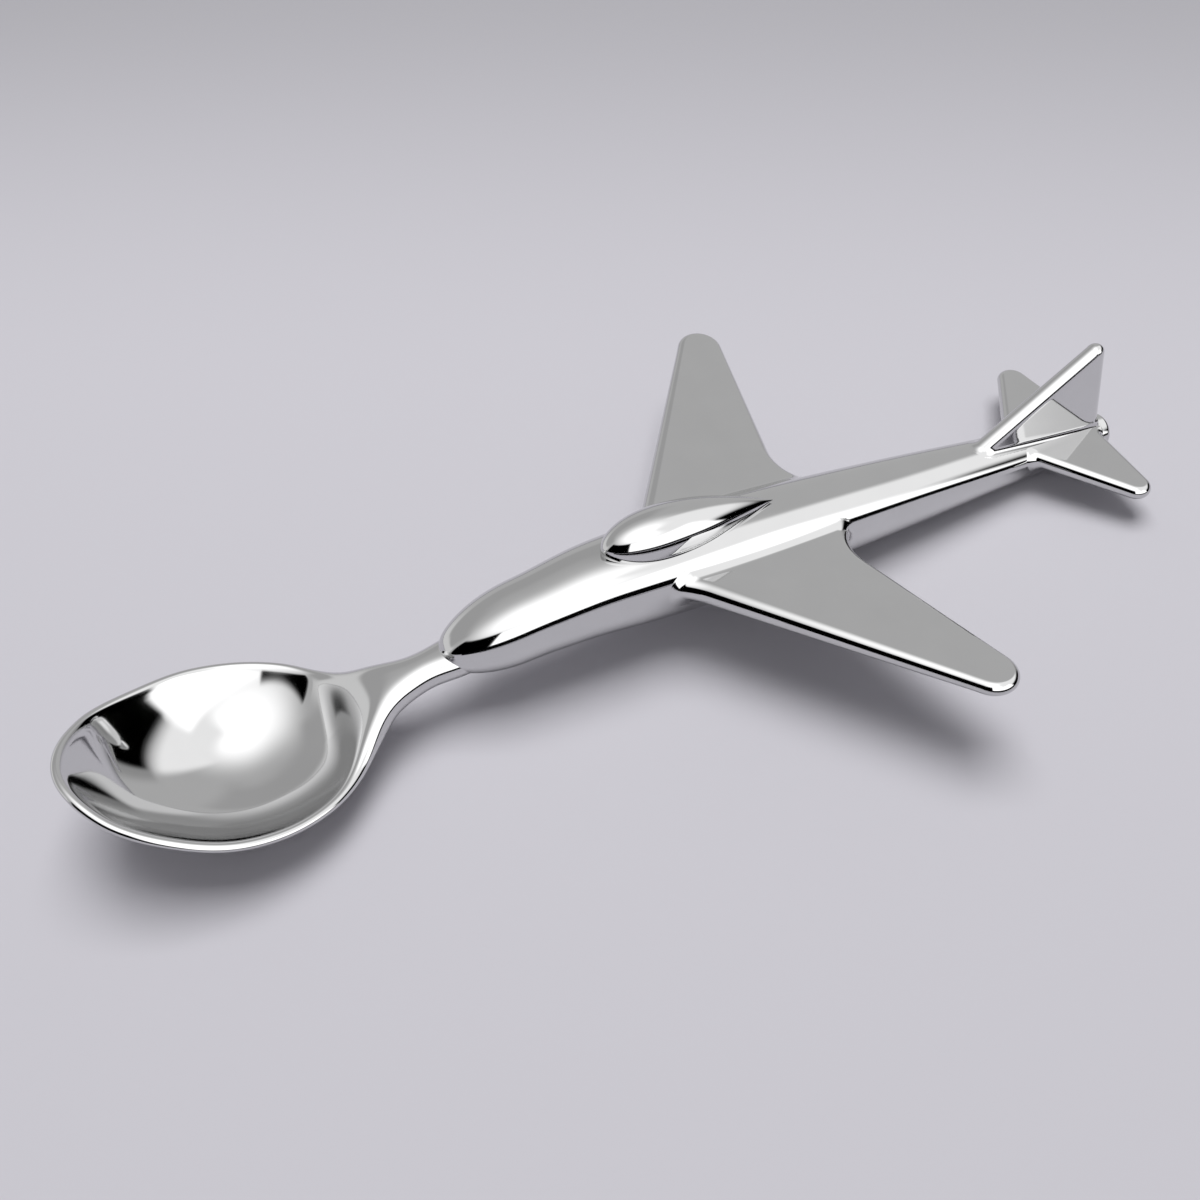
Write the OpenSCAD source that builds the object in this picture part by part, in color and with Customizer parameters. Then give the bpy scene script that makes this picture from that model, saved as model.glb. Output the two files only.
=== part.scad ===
// Baby spoon whose handle is a small aeroplane.
// The bowl, its neck and a flat tang are one piece. Two half shells close
// round the tang and are filled with cement. Canopy, wings, fin, tailplanes
// and the tail button are separate pieces with tabs or pegs in the shells.
// Sizes are written in the handle's own frame: X runs aft along the body
// axis, Z is up, and X = 0 is where the wings' front edges would meet.
// The last transform lays the spoon on the table as it really rests.

/* [Bowl] */
// Length of the hollow of the bowl
bowl_length = 33.7; // [30:0.1:38]
// Half width of the hollow at its widest place
bowl_half_width = 12.2; // [10.5:0.1:13.5]
// Depth of the hollow below the middle of its rim
bowl_depth = 7; // [5.5:0.1:8]
// Thickness of the bowl wall at the rim
bowl_wall = 1.2; // [0.9:0.05:1.6]
// Radius of the rim's sag seen from the side
rim_radius = 45.5; // [40:0.5:70]
// Angle by which the bowl's hollow points down from the body axis
bowl_droop = 8.7; // [6:0.1:11]

/* [Neck and tang] */
// Distance from the end of the hollow to the face of the nose
neck_gap = 9.3; // [8:0.1:11]
// Drop of the rim's rear end below the body axis
neck_drop = 7.2; // [6.6:0.1:7.8]
// Half width of the neck where it enters the nose
neck_half_width = 3; // [2.7:0.05:3.3]
// Thickness of the neck
neck_thickness = 3.9; // [3.3:0.1:4.3]
// Length of the neck's spreading foot under the bowl
neck_foot = 4; // [3:0.1:5]
// Drop of the neck's middle line below the body axis at the nose
neck_end_drop = 3.9; // [3.6:0.05:4.2]
// Length of the tang from the neck to its rear end
tang_length = 17; // [13:0.5:18]
// Width of the tang
tang_width = 4; // [3:0.1:4.4]
// Thickness of the tang
tang_thickness = 1.8; // [1.2:0.1:2]
// Angle by which the tang rises
tang_slope = 14; // [12:0.5:16]

/* [Body] */
// Place of the bend between nose and body
bend_x = -11.5; // [-13:0.1:-10]
// Length of the nose in front of the bend
nose_length = 14.4; // [13.5:0.1:15]
// Angle by which the nose points down
nose_droop = 9; // [7:0.1:11]
// Largest radius of the body
body_radius = 6.15; // [5.9:0.05:6.4]
// Place where the shells end and the tail button starts
tail_x = 74.3; // [74:0.1:78]
// Wall of the two half shells
shell_wall = 0.9; // [0.7:0.05:1.1]
// Place where the cement filling ends
core_end = 36; // [32:0.5:44]
// Clearance between pieces that fit into or onto each other
fit_gap = 0.05; // [0.03:0.01:0.08]

/* [Canopy] */
// Place of the front end of the canopy
canopy_x = -5.6; // [-6.5:0.1:-4.5]
// Length of the canopy
canopy_length = 24.2; // [21:0.1:26]
// Radius of the canopy at its widest place
canopy_radius = 3.4; // [3:0.05:3.7]
// Depth of the canopy's middle line below the top of the body
canopy_sink = 0.15; // [0:0.05:0.5]
// Radius of the peg under the canopy
peg_radius = 0.9; // [0.6:0.05:1.1]
// Place of the peg behind the front end of the canopy
peg_place = 9.6; // [8:0.1:12]

/* [Wings] */
// Distance between the wing's edge lines at the body axis
wing_chord = 21.14; // [19:0.1:23]
// Sweep of the tip behind the front edge's start
wing_tip_x = 26.9; // [24:0.1:29]
// Distance of the tip's centre from the body axis
wing_tip_y = 33.1; // [28:0.1:36]
// Radius of the tip's edge line
wing_tip_radius = 2.25; // [1.8:0.05:2.8]
// Half thickness of the wing at the body axis
wing_root_half = 2.2; // [1.9:0.05:2.4]
// Half thickness of the wing at the tip
wing_tip_half = 1; // [0.8:0.05:1.2]
// Height of the wing's middle above the body axis
wing_height = 1.26; // [1.1:0.02:1.4]
// Angle by which the wings rise towards their tips
wing_rise = 6.1; // [4.5:0.1:7.5]
// Radius of the hollow corner in front of the wing root
front_fillet = 10; // [7:0.5:12]
// Radius of the hollow corner behind the wing root
rear_fillet = 5; // [3.5:0.5:6]
// Length of the tab that holds the wing in the body
wing_tab_length = 12; // [9:0.5:13]
// Thickness of the wing's tab
wing_tab_thickness = 1.6; // [1.2:0.1:1.8]
// Distance of the tab's inner end from the middle plane
tab_inner = 0.6; // [0.4:0.05:0.8]

/* [Tail] */
// Distance from the tailplane's front edge line at the middle plane to the end of the shells
tailplane_place = 14.8; // [13.8:0.1:16.3]
// Distance between the tailplane's edge lines at the middle plane
tailplane_chord = 12.8; // [12:0.1:13.6]
// Sweep of the tailplane's tip
tailplane_tip_x = 10.7; // [9.8:0.1:11.4]
// Distance of the tailplane's tip centre from the middle plane
tailplane_tip_y = 12.8; // [11:0.1:14]
// Radius of the tailplane tip's edge line
tailplane_tip_radius = 1.2; // [1:0.05:1.4]
// Half thickness of the tailplane at the middle plane
tailplane_root_half = 1.2; // [1:0.05:1.3]
// Half thickness of the tailplane at its tip
tailplane_tip_half = 1; // [0.8:0.05:1.1]
// Height of the tailplane above the body axis
tailplane_height = 1.05; // [0.95:0.02:1.15]
// Length of the tailplane's tab
tailplane_tab_length = 5; // [4:0.1:6]
// Thickness of the tailplane's tab
tailplane_tab_thickness = 1; // [0.8:0.05:1.2]
// Distance from the fin's front edge line at the body axis to the end of the shells
fin_place = 25.4; // [25:0.1:26.8]
// Distance between the fin's edge lines at the body axis
fin_chord = 25; // [24:0.1:25.8]
// Sweep of the fin's tip
fin_tip_x = 18.8; // [18:0.1:20]
// Height of the fin's tip centre above the body axis
fin_tip_height = 15.6; // [13.5:0.1:17]
// Radius of the fin tip's edge line
fin_tip_radius = 0.25; // [0.2:0.05:0.4]
// Half thickness of the fin at the body axis
fin_root_half = 1.3; // [1.1:0.05:1.4]
// Half thickness of the fin at its tip
fin_tip_half = 1.15; // [1:0.05:1.3]
// Length of the fin's tab
fin_tab_length = 5; // [4:0.1:6]
// Thickness of the fin's tab
fin_tab_thickness = 1; // [0.8:0.05:1.2]
// Length of the tail button behind the shells
button_length = 1.9; // [1.5:0.1:3]
// Length of the button's spigot inside the shells
spigot_length = 3; // [2:0.1:3.5]

/* [Hidden] */
// Depth of the small flats worn on the two places that touch the table
rest_flat = 0.12;
// How far a cut runs past the face that it cuts
overrun = 5;
// Points taken on each stretch of a smoothed outline
steps = 3;
round_fn = 96;
edge_fn = 48;
blade_fn = 28;

// Half width of the hollow along its length, as shares of length and width
bowl_shares = [
    [0, 0], [0.008, 0.155], [0.028, 0.295], [0.07, 0.475], [0.125, 0.62],
    [0.19, 0.745], [0.26, 0.845], [0.34, 0.925], [0.43, 0.982], [0.52, 1],
    [0.605, 0.978], [0.69, 0.912], [0.77, 0.8], [0.85, 0.635], [0.92, 0.43],
    [0.975, 0.215], [1, 0]
];
// Radius of the body between bend and tail, as shares of length and radius
body_shares = [
    [0, 0.882], [0.08, 0.945], [0.155, 0.984], [0.235, 1], [0.315, 0.984],
    [0.41, 0.935], [0.5, 0.87], [0.59, 0.797], [0.67, 0.725], [0.75, 0.652],
    [0.83, 0.58], [0.915, 0.512], [1, 0.455]
];
// Radius of the nose in front of the bend, as shares of length and radius
nose_shares = [
    [0, 0.882], [0.2, 0.868], [0.41, 0.83], [0.62, 0.765], [0.79, 0.68],
    [0.9, 0.6], [0.97, 0.52], [1, 0.42]
];
// Radius of the canopy along its length, as shares of length and radius
canopy_shares = [
    [0, 0], [0.008, 0.18], [0.035, 0.41], [0.09, 0.66], [0.17, 0.86],
    [0.26, 0.97], [0.36, 1], [0.46, 0.965], [0.57, 0.87], [0.68, 0.71],
    [0.8, 0.48], [0.91, 0.23], [1, 0]
];
// Sections of the neck from its foot to the nose, as shares of its run, of
// its half width, of its half thickness and of its rise
neck_shares = [
    [0, 2.5, 0.3, 0], [0.17, 1.97, 0.52, 0.05], [0.345, 1.46, 0.8, 0.19],
    [0.55, 1.1, 0.96, 0.45], [0.76, 1, 1, 0.7], [1, 1, 1, 1]
];

// Smooth curve through a list of points
function blend(a, b, c, d, t) =
    0.5 * (2 * b + (c - a) * t + (2 * a - 5 * b + 4 * c - d) * t * t
    + (3 * b - a - 3 * c + d) * t * t * t);
function smooth(p) = concat(
    [for (i = [0:len(p) - 2], k = [0:steps - 1])
        blend(p[max(i - 1, 0)], p[i], p[i + 1], p[min(i + 2, len(p) - 1)], k / steps)],
    [p[len(p) - 1]]);

// Bowl: a body of revolution round a line above the rim, cut by the rim's arc
half_length = bowl_length / 2;
rim_center = sqrt(rim_radius * rim_radius - half_length * half_length);
rim_sag = rim_radius - rim_center;
bowl_sweep = (bowl_half_width * bowl_half_width + bowl_depth * bowl_depth) / (2 * bowl_depth);
axis_height = bowl_sweep - bowl_depth - rim_sag;
function rim_height(u) =
    rim_center - sqrt(rim_radius * rim_radius - (u - half_length) * (u - half_length));
function bowl_point(s, grow) =
    let (u = s[0] * (bowl_length + 2 * grow) - grow,
        w = max(s[1], 0) * (bowl_half_width + grow),
        h = axis_height - rim_height(u))
    [sqrt(w * w + h * h), u];
function bowl_outline(grow) = [for (s = smooth(bowl_shares)) bowl_point(s, grow)];

// Where the bowl hangs on the handle
nose_x = bend_x - nose_length * cos(nose_droop);
hollow_end_x = nose_x - neck_gap;
bowl_tip_x = hollow_end_x - bowl_length * cos(bowl_droop);
bowl_tip_z = bowl_length * sin(bowl_droop) - neck_drop;
neck_start_x = hollow_end_x - neck_foot;
neck_start_z = -neck_drop - neck_thickness / 3;
neck_run = nose_x + neck_half_width / 3 - neck_start_x;
neck_rise = -neck_end_drop - neck_start_z;

// Body
body_length = tail_x - bend_x;
function body_outline(inset) =
    [for (s = smooth(body_shares)) [s[1] * body_radius - inset, s[0] * body_length]];
function nose_outline(inset) =
    [for (s = smooth(nose_shares)) [s[1] * body_radius - inset, s[0] * (nose_length - inset)]];
bend_radius = body_shares[0][1] * body_radius;
tail_radius = body_shares[len(body_shares) - 1][1] * body_radius;
button_round = tail_radius / 3;
body_size = body_radius * 4;
canopy_height = body_radius - canopy_sink;
tailplane_x = tail_x - tailplane_place;
fin_x = tail_x - fin_place;

// Resting pose: the pitch at which the bowl's belly and the tail button are
// equally low, found by halving the interval
button_x = tail_x + button_length;
function bowl_low(a) = min([for (p = bowl_outline(bowl_wall))
    -(bowl_tip_x + p[1] * cos(bowl_droop) + (axis_height - p[0]) * sin(bowl_droop)) * sin(a)
    + (bowl_tip_z - p[1] * sin(bowl_droop) + (axis_height - p[0]) * cos(bowl_droop)) * cos(a)]);
function tail_low(a) = -(button_x - button_round) * sin(a) - tail_radius * cos(a);
function settle(low, high, turns) =
    let (middle = (low + high) / 2)
    turns == 0 ? middle
    : bowl_low(middle) < tail_low(middle) ? settle(middle, high, turns - 1)
    : settle(low, middle, turns - 1);
pitch_low = 0;
pitch_high = 15;
halvings = 20;
rest_pitch = settle(pitch_low, pitch_high, halvings);
rest_height = -bowl_low(rest_pitch) - rest_flat;
front_end = min([for (p = bowl_outline(bowl_wall))
    (bowl_tip_x + p[1] * cos(bowl_droop) + rim_height(p[1]) * sin(bowl_droop)) * cos(rest_pitch)
    + (bowl_tip_z - p[1] * sin(bowl_droop) + rim_height(p[1]) * cos(bowl_droop)) * sin(rest_pitch)]);
rear_end = button_x * cos(rest_pitch) + (tail_radius - button_round) * sin(rest_pitch);
rest_shift = -(front_end + rear_end) / 2;
table_size = 4 * bowl_length;

// Helpers

// Lays a piece of the handle's frame on the table
module laid() {
    translate([rest_shift, 0, rest_height])
        rotate([0, rest_pitch, 0])
            children();
}

// Cuts away what would reach below the table
module above_table() {
    difference() {
        laid() children();
        translate([0, 0, -table_size / 2])
            cube([2 * table_size, table_size, table_size], center = true);
    }
}

// Body of revolution round the X axis from points of radius and place
module spindle(points) {
    rotate([0, 90, 0])
        rotate_extrude($fn = round_fn)
            polygon(concat([[0, points[0][1]]], points, [[0, points[len(points) - 1][1]]]));
}

// Outer form of the nose and body, or the same form a little smaller
module body_form(inset) {
    translate([bend_x, 0, 0]) {
        spindle(body_outline(inset));
        sphere(r = bend_radius - inset, $fn = round_fn);
        rotate([0, -nose_droop, 0])
            mirror([1, 0, 0])
                spindle(nose_outline(inset));
    }
}

// Everything below the seam between the two shells
module below_seam() {
    rotate([90, 0, 0])
        linear_extrude(height = body_size, center = true)
            polygon([
                [bend_x - 2 * nose_length * cos(nose_droop), -2 * nose_length * sin(nose_droop)],
                [bend_x, 0],
                [tail_x + overrun, 0],
                [tail_x + overrun, -body_size],
                [bend_x - 2 * nose_length * cos(nose_droop), -body_size]
            ]);
}

// Neck: oval sections that narrow and rise from under the bowl to the nose
module neck_section(share, grow) {
    translate([neck_start_x + share[0] * neck_run, 0, neck_start_z + share[3] * neck_rise])
        rotate([90, 0, 90])
            linear_extrude(height = fit_gap)
                scale([share[1] * neck_half_width + grow, share[2] * neck_thickness / 2 + grow])
                    circle(r = 1, $fn = blade_fn);
}
module neck_form(grow, first) {
    for (i = [first:len(neck_shares) - 2])
        hull() {
            neck_section(neck_shares[i], grow);
            neck_section(neck_shares[i + 1], grow);
        }
}

// Tang: a flat bar that starts inside the neck
module tang_form(grow) {
    translate([nose_x, 0, -neck_end_drop])
        rotate([0, -tang_slope, 0])
            translate([0, -tang_width / 2 - grow, -tang_thickness / 2 - grow])
                cube([tang_length + grow, tang_width + 2 * grow, tang_thickness + 2 * grow]);
}

// Point where a line from a point touches a circle, on the given side
function touch(point, center, radius, side) =
    let (d = center - point,
        far = norm(d),
        turn = side * asin(radius / far),
        reach = sqrt(far * far - radius * radius),
        way = atan2(d[1], d[0]) + turn)
    point + reach * [cos(way), sin(way)];

// Blade with round edges: chord along X, span along Y, thickness along Z
module blade(chord, tip, tip_radius, root_half, tip_half) {
    hull() {
        sphere(r = root_half, $fn = blade_fn);
        translate([chord, 0, 0])
            sphere(r = root_half, $fn = blade_fn);
        translate([tip[0], tip[1], 0])
            rotate_extrude($fn = blade_fn)
                intersection() {
                    translate([tip_radius, 0])
                        circle(r = tip_half, $fn = blade_fn);
                    translate([0, -tip_half])
                        square([tip_radius + tip_half, 2 * tip_half]);
                }
    }
}

// Flat corner piece with one hollow round side, between two edges
module corner(apex, first, second, radius) {
    one = (first - apex) / norm(first - apex);
    two = (second - apex) / norm(second - apex);
    half_angle = acos(one * two) / 2;
    reach = radius / tan(half_angle);
    center = apex + (one + two) / norm(one + two) * radius / sin(half_angle);
    difference() {
        polygon([apex, apex + one * reach, center, apex + two * reach]);
        translate(center)
            circle(r = radius, $fn = round_fn);
    }
}

// Wing in its own frame, without its tab
wing_tip = [wing_tip_x, wing_tip_y];
wing_front = touch([0, 0], wing_tip, wing_tip_radius, 1);
wing_rear = touch([wing_chord, 0], wing_tip, wing_tip_radius, -1);
function side_point(from, to, y) = from + (to - from) * (y - from[1]) / (to[1] - from[1]);
// Where the outer edges leave the body's side, a little inside its skin
front_side_share = 0.9;
rear_side_share = 0.84;
edge_share = 0.55;
edge_half = edge_share * wing_root_half;
root_front = side_point([0, 0], wing_front, front_side_share * body_radius)
    - [edge_half * norm(wing_front) / wing_front[1], 0];
root_rear = side_point([wing_chord, 0], wing_rear, rear_side_share * body_radius) + [edge_half, 0];
module wing_form() {
    blade(wing_chord, wing_tip, wing_tip_radius, wing_root_half, wing_tip_half);
    linear_extrude(height = 2 * wing_tip_half, center = true) {
        corner(root_front, root_front - [wing_chord, 0], root_front + wing_front, front_fillet);
        corner(root_rear, root_rear + [wing_chord, 0], root_rear + wing_rear - [wing_chord, 0],
            rear_fillet);
    }
}

// Tabs, the same for a piece and, a little larger, for its slots
wing_tab_x = (wing_chord - wing_tab_length) / 2;
tab_outer = body_radius + wing_root_half / 2;
module wing_tab(grow) {
    translate([wing_tab_x - grow, tab_inner - grow, wing_height - wing_tab_thickness / 2 - grow])
        cube([wing_tab_length + 2 * grow, tab_outer - tab_inner + grow, wing_tab_thickness + 2 * grow]);
}
tailplane_tab_x = tailplane_x + (tailplane_chord - tailplane_tab_length) / 2;
tail_tab_outer = tailplane_tip_y / 3;
module tailplane_tab(grow) {
    translate([tailplane_tab_x - grow, tab_inner - grow,
        tailplane_height - tailplane_tab_thickness / 2 - grow])
        cube([tailplane_tab_length + 2 * grow, tail_tab_outer - tab_inner + grow,
            tailplane_tab_thickness + 2 * grow]);
}
fin_tab_x = fin_x + fin_chord / 2;
fin_tab_low = tailplane_height + tailplane_tab_thickness / 2 + 4 * fit_gap;
fin_tab_high = tail_radius + fin_tip_height / 8;
module fin_tab(grow) {
    translate([fin_tab_x - grow, -fin_tab_thickness / 2 - grow, fin_tab_low - grow])
        cube([fin_tab_length + 2 * grow, fin_tab_thickness + 2 * grow, fin_tab_high - fin_tab_low + grow]);
}
peg_low = canopy_height - canopy_radius / 2;
module canopy_peg(grow) {
    translate([canopy_x + peg_place, 0, peg_low - grow])
        cylinder(h = canopy_height - peg_low + canopy_radius / 2, r = peg_radius + grow, $fn = edge_fn);
}
module both_sides() {
    children();
    mirror([0, 1, 0]) children();
}
module all_slots(grow) {
    both_sides() wing_tab(grow);
    both_sides() tailplane_tab(grow);
    fin_tab(grow);
    canopy_peg(grow);
}

// Pieces

module spoon_bowl_neck_and_tang() {
    color([0.8, 0.81, 0.83])
        above_table() {
            difference() {
                union() {
                    translate([bowl_tip_x, 0, bowl_tip_z])
                        rotate([0, bowl_droop, 0])
                            difference() {
                                translate([0, 0, axis_height])
                                    spindle(bowl_outline(bowl_wall));
                                translate([half_length, 0, rim_center])
                                    rotate([90, 0, 0])
                                        cylinder(h = 4 * bowl_half_width, r = rim_radius,
                                            center = true, $fn = 2 * round_fn);
                            }
                    neck_form(0, 0);
                    tang_form(0);
                }
                translate([bowl_tip_x, 0, bowl_tip_z])
                    rotate([0, bowl_droop, 0])
                        translate([0, 0, axis_height])
                            spindle(bowl_outline(0));
            }
        }
}

module shell_blank() {
    difference() {
        body_form(0);
        body_form(shell_wall);
        translate([tail_x - overrun, 0, 0])
            rotate([0, 90, 0])
                cylinder(h = 2 * overrun, r = tail_radius - shell_wall, $fn = round_fn);
        neck_form(fit_gap, len(neck_shares) - 2);
        tang_form(fit_gap);
        all_slots(fit_gap);
    }
}

module upper_body_shell() {
    color([0.83, 0.84, 0.86])
        laid()
            difference() {
                shell_blank();
                below_seam();
            }
}

module lower_body_shell() {
    color([0.74, 0.75, 0.78])
        above_table()
            intersection() {
                shell_blank();
                below_seam();
            }
}

module cement_filling() {
    color([0.72, 0.7, 0.66])
        laid()
            difference() {
                intersection() {
                    body_form(shell_wall + fit_gap);
                    translate([core_end - table_size, -body_size / 2, -body_size / 2])
                        cube([table_size, body_size, body_size]);
                }
                neck_form(fit_gap, len(neck_shares) - 2);
                tang_form(fit_gap);
                all_slots(fit_gap);
            }
}

module canopy() {
    color([0.86, 0.87, 0.89])
        laid() {
            difference() {
                translate([canopy_x, 0, canopy_height])
                    spindle([for (s = smooth(canopy_shares))
                        [max(s[1], 0) * canopy_radius, s[0] * canopy_length]]);
                body_form(-fit_gap);
            }
            canopy_peg(0);
        }
}

module wing_piece() {
    difference() {
        translate([0, 0, wing_height])
            rotate([wing_rise, 0, 0])
                wing_form();
        body_form(-fit_gap);
        translate([-table_size / 2, -table_size, -table_size / 2])
            cube([table_size, table_size, table_size]);
    }
    wing_tab(0);
}

module right_wing() {
    color([0.7, 0.71, 0.73])
        laid()
            wing_piece();
}

module left_wing() {
    color([0.7, 0.71, 0.73])
        laid()
            mirror([0, 1, 0])
                wing_piece();
}

module tail_fin() {
    color([0.76, 0.77, 0.79])
        laid() {
            difference() {
                translate([fin_x, 0, 0])
                    rotate([90, 0, 0])
                        blade(fin_chord, [fin_tip_x, fin_tip_height], fin_tip_radius,
                            fin_root_half, fin_tip_half);
                body_form(-fit_gap);
                translate([tail_x - overrun, 0, 0])
                    rotate([0, 90, 0])
                        cylinder(h = 2 * overrun, r = tail_radius + fit_gap, $fn = round_fn);
                translate([0, -body_size / 2, -body_size])
                    cube([table_size, body_size, body_size]);
            }
            fin_tab(0);
        }
}

module tailplane_piece() {
    difference() {
        translate([tailplane_x, 0, tailplane_height])
            blade(tailplane_chord, [tailplane_tip_x, tailplane_tip_y], tailplane_tip_radius,
                tailplane_root_half, tailplane_tip_half);
        body_form(-fit_gap);
        translate([0, -table_size, -table_size / 2])
            cube([table_size, table_size, table_size]);
    }
    tailplane_tab(0);
}

module right_tailplane() {
    color([0.72, 0.73, 0.75])
        laid()
            tailplane_piece();
}

module left_tailplane() {
    color([0.72, 0.73, 0.75])
        laid()
            mirror([0, 1, 0])
                tailplane_piece();
}

module tail_button() {
    color([0.82, 0.83, 0.85])
        above_table()
            translate([tail_x, 0, 0])
                rotate([0, 90, 0]) {
                    rotate_extrude($fn = round_fn)
                        union() {
                            square([tail_radius, button_length - button_round]);
                            square([tail_radius - button_round, button_length]);
                            translate([tail_radius - button_round, button_length - button_round])
                                intersection() {
                                    circle(r = button_round, $fn = edge_fn);
                                    square([button_round, button_round]);
                                }
                        }
                    translate([0, 0, -spigot_length])
                        cylinder(h = spigot_length, r = tail_radius - shell_wall - fit_gap, $fn = round_fn);
                }
}

spoon_bowl_neck_and_tang();
upper_body_shell();
lower_body_shell();
cement_filling();
canopy();
left_wing();
right_wing();
tail_fin();
left_tailplane();
right_tailplane();
tail_button();
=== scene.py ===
import math
import bmesh
import bpy
import numpy as np
from mathutils import Matrix, Vector


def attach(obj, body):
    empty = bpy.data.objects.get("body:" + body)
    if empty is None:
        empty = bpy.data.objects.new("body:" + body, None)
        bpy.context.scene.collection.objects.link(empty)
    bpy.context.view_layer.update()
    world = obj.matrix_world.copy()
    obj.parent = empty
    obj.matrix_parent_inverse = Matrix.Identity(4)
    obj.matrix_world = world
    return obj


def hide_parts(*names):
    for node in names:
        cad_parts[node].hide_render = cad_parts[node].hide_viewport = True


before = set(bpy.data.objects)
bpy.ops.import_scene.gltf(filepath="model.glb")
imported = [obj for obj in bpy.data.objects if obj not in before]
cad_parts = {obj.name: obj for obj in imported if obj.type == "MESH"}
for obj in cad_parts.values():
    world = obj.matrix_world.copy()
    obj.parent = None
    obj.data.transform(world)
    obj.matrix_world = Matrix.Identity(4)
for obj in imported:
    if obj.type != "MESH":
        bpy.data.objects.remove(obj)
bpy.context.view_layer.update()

# Shapes are worked out in millimetres in the handle's frame: x runs aft along
# the body, z is up. The same turn and lift as in the part then lay them down.
lay = {"pitch": 6.06778, "lift": 10.6187, "shift": -3.3813}

# metres and degrees: points closer than merge become one, edges shorter than
# sliver go, and creases steeper than sharp stay sharp
meshing = {"merge": 4e-7, "sliver": 1e-7, "sharp": 38}


def onTable(points):
    # x' = shift + x cos a + z sin a, z' = lift - x sin a + z cos a, no lower than the table, then metres
    a = math.radians(lay["pitch"])
    x, y, z = points[..., 0], points[..., 1], points[..., 2]
    tableX = lay["shift"] + x * math.cos(a) + z * math.sin(a)
    tableZ = lay["lift"] - x * math.sin(a) + z * math.cos(a)
    return np.stack([tableX, y, np.maximum(tableZ, 0.0)], -1) / 1000


def spline(at, knots, values):
    # natural cubic: the bend m at each knot solves h m0 + 2 (h + h') m1 + h' m2 = 6 (slope' - slope)
    k, v = np.asarray(knots, float), np.asarray(values, float)
    h = np.diff(k)
    slope = np.diff(v) / h
    inner = np.arange(1, len(k) - 1)
    rows, right = np.eye(len(k)), np.zeros(len(k))
    rows[inner, inner] = 2 * (h[:-1] + h[1:])
    rows[inner, inner - 1] = h[:-1]
    rows[inner, inner + 1] = h[1:]
    right[inner] = 6 * np.diff(slope)
    m = np.linalg.solve(rows, right)
    at = np.clip(np.asarray(at, float), k[0], k[-1])
    i = np.clip(np.searchsorted(k, at) - 1, 0, len(k) - 2)
    past, left = at - k[i], k[i + 1] - at
    return ((m[i] * left ** 3 + m[i + 1] * past ** 3) / (6 * h[i])
            + (v[i] / h[i] - m[i] * h[i] / 6) * left
            + (v[i + 1] / h[i] - m[i + 1] * h[i] / 6) * past)


def curveThrough(points):
    # one curve through (station, width) points, by the length of their chords. The first three are mirrored
    # over the axis, so that the curve starts square to it. Gives the curve and its whole length
    points = np.array(points, float)
    both = np.concatenate([points[3:0:-1] * [1, -1], points])
    length = np.concatenate([[0], np.cumsum(np.linalg.norm(np.diff(both, axis=0), axis=1))])

    def at(distance):
        here = length[3] + distance
        return spline(here, length, both[:, 0]), np.maximum(spline(here, length, both[:, 1]), 0)
    return at, length[-1] - length[3]


def smoothStep(t):
    # 6 t^5 - 15 t^4 + 10 t^3 between 0 and 1
    t = np.clip(t, 0, 1)
    return t ** 3 * (10 - 15 * t + 6 * t * t)


def fan(border, centre):
    # a border drawn together to one point
    return np.stack([border, np.broadcast_to(centre, border.shape)], 0)


def makePiece(name, grids, slot, material, *nodes):
    # grids of points become quads; shared borders are merged and the faces turned outwards
    vertices, faces, start = [], [], 0
    for points in grids:
        rows, columns = points.shape[:2]
        place = np.arange(rows * columns).reshape(rows, columns) + start
        quads = np.stack([place[:-1, :-1], place[1:, :-1], place[1:, 1:], place[:-1, 1:]], -1)
        faces.append(quads.reshape(-1, 4))
        vertices.append(onTable(points).reshape(-1, 3))
        start += rows * columns
    mesh = bpy.data.meshes.new(name)
    mesh.from_pydata(np.concatenate(vertices).tolist(), [], np.concatenate(faces).tolist())
    work = bmesh.new()
    work.from_mesh(mesh)
    bmesh.ops.remove_doubles(work, verts=work.verts, dist=meshing["merge"])
    bmesh.ops.dissolve_degenerate(work, edges=work.edges, dist=meshing["sliver"])
    bmesh.ops.recalc_face_normals(work, faces=work.faces)
    work.to_mesh(mesh)
    work.free()
    mesh.polygons.foreach_set("use_smooth", np.ones(len(mesh.polygons), bool))
    mesh.set_sharp_from_angle(angle=math.radians(meshing["sharp"]))
    mesh.materials.append(material)
    piece = bpy.data.objects.new(name, mesh)
    bpy.context.scene.collection.objects.link(piece)
    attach(piece, "root")
    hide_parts(*nodes)
    print(name, len(mesh.polygons), "faces")


def newMaterial(name):
    material = bpy.data.materials.new(name)
    material.use_nodes = True
    return material, material.node_tree.nodes, material.node_tree.links


def noiseNode(nodes, links, scale, detail, stretch=None):
    # cloudy noise in the piece's own coordinates, drawn out along an axis where stretch is under 1
    place = nodes.new("ShaderNodeTexCoord").outputs["Object"]
    if stretch:
        turn = nodes.new("ShaderNodeMapping")
        turn.inputs["Scale"].default_value = stretch
        links.new(place, turn.inputs["Vector"])
        place = turn.outputs["Vector"]
    cloud = nodes.new("ShaderNodeTexNoise")
    cloud.inputs["Scale"].default_value = scale
    cloud.inputs["Detail"].default_value = detail
    links.new(place, cloud.inputs["Vector"])
    return cloud.outputs["Fac"]


def toneBetween(nodes, links, share, first, second):
    # colour between two tones
    tone = nodes.new("ShaderNodeMix")
    tone.data_type = "RGBA"
    tone.inputs["A"].default_value = (*first, 1)
    tone.inputs["B"].default_value = (*second, 1)
    links.new(share, tone.inputs["Factor"])
    return tone.outputs["Result"]


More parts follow.
